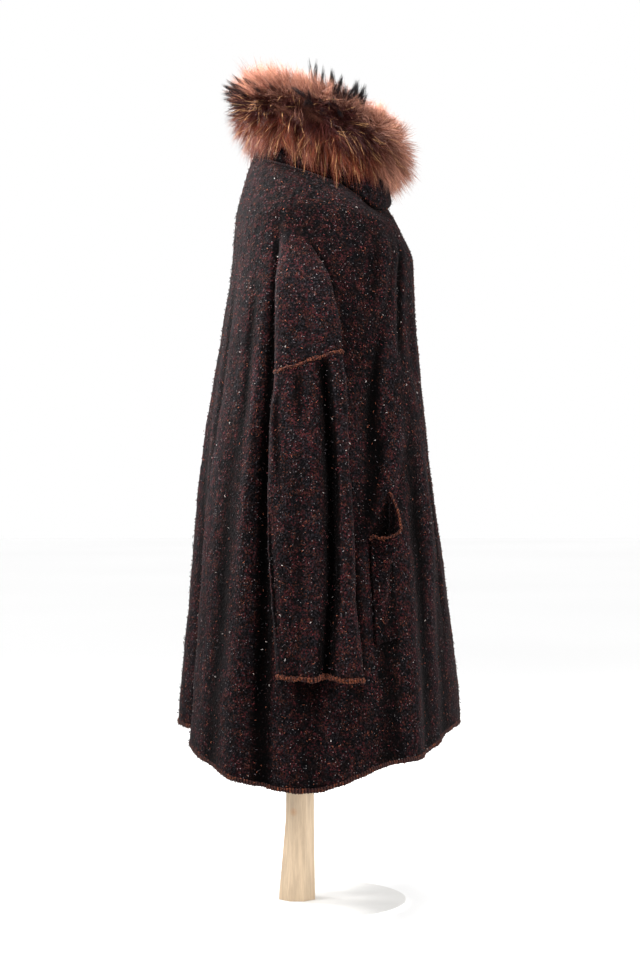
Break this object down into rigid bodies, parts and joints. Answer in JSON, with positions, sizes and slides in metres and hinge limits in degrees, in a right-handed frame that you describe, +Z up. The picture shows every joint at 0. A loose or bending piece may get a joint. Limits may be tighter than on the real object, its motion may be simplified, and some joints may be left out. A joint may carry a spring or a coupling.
{
  "type": "wool coat on a dress form",
  "caption": "Flared knitted wool coat with dropped shoulders, empty sleeves, patch pockets and a fur collar, hanging on a limbless dress form with a wooden post and a flat base plate.",
  "frame": {"origin": "centre of the base plate's underside, on the floor", "axes": "+Z up, the coat's front faces -Y, the wearer's right side is -X"},
  "size_m": [0.6716, 0.4237, 1.2547],
  "materials": {
    "knit": "charcoal looped wool knit with red, rust and brown flecks and a pale halo",
    "edging": "rust wool crochet edging with dark ticks",
    "fur": "long fur, orange brown at the edges and dark brown down the middle",
    "form_cover": "plain off-white cotton cover",
    "post_wood": "pale planed wood, clear matt finish",
    "base_paint": "smooth white powder coat"
  },
  "bodies": {
    "root": {"back": "knit", "front_right": "knit", "front_left": "knit", "sleeve_right": "knit", "sleeve_left": "knit", "collar": "knit", "pocket_right": "knit", "pocket_left": "knit", "hem_edging": "edging", "front_edging_right": "edging", "front_edging_left": "edging", "cuff_edging_right": "edging", "cuff_edging_left": "edging", "pocket_edging_right": "edging", "pocket_edging_left": "edging", "fur_collar": "fur", "dress_form": "form_cover", "post": "post_wood", "base_plate": "base_paint"}
  },
  "joints": []
}
